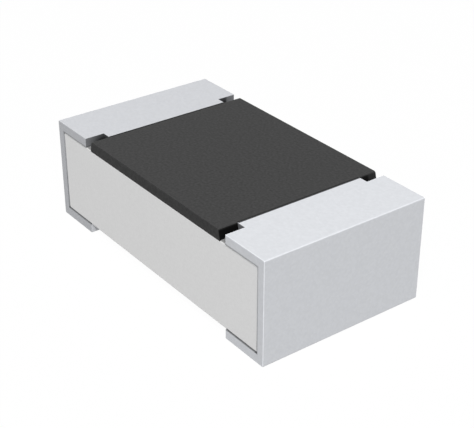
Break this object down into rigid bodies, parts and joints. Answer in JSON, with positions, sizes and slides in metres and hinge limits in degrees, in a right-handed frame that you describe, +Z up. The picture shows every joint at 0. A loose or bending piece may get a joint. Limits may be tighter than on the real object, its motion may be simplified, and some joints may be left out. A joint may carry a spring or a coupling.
{
  "type": "smd chip resistor",
  "caption": "Surface-mount resistor: white ceramic block with wrap-around tinned terminals on its ends and a black resin cover on top.",
  "frame": {"origin": "centre of the ceramic block, where its three middle planes cross", "axes": "+X along the length, +Y across the width, +Z up through the black cover"},
  "size_m": [0.0016, 0.0008, 0.0006],
  "materials": {
    "alumina": "matte, unglazed",
    "resistive_film": "matte",
    "glass_coat": "glossy, translucent",
    "black_resin": "matte",
    "silver_print": "matte",
    "end_metal": "matte",
    "nickel": "satin",
    "tin": "satin, fine matte grain"
  },
  "bodies": {
    "root": {"ceramic_substrate": "alumina", "resistive_film": "resistive_film", "glass_coat": "glass_coat", "resin_overcoat": "black_resin", "top_electrode_left": "silver_print", "top_electrode_right": "silver_print", "bottom_electrode_left": "silver_print", "bottom_electrode_right": "silver_print", "end_electrode_left": "end_metal", "end_electrode_right": "end_metal", "nickel_barrier_left": "nickel", "nickel_barrier_right": "nickel", "tin_plating_left": "tin", "tin_plating_right": "tin"}
  },
  "joints": []
}
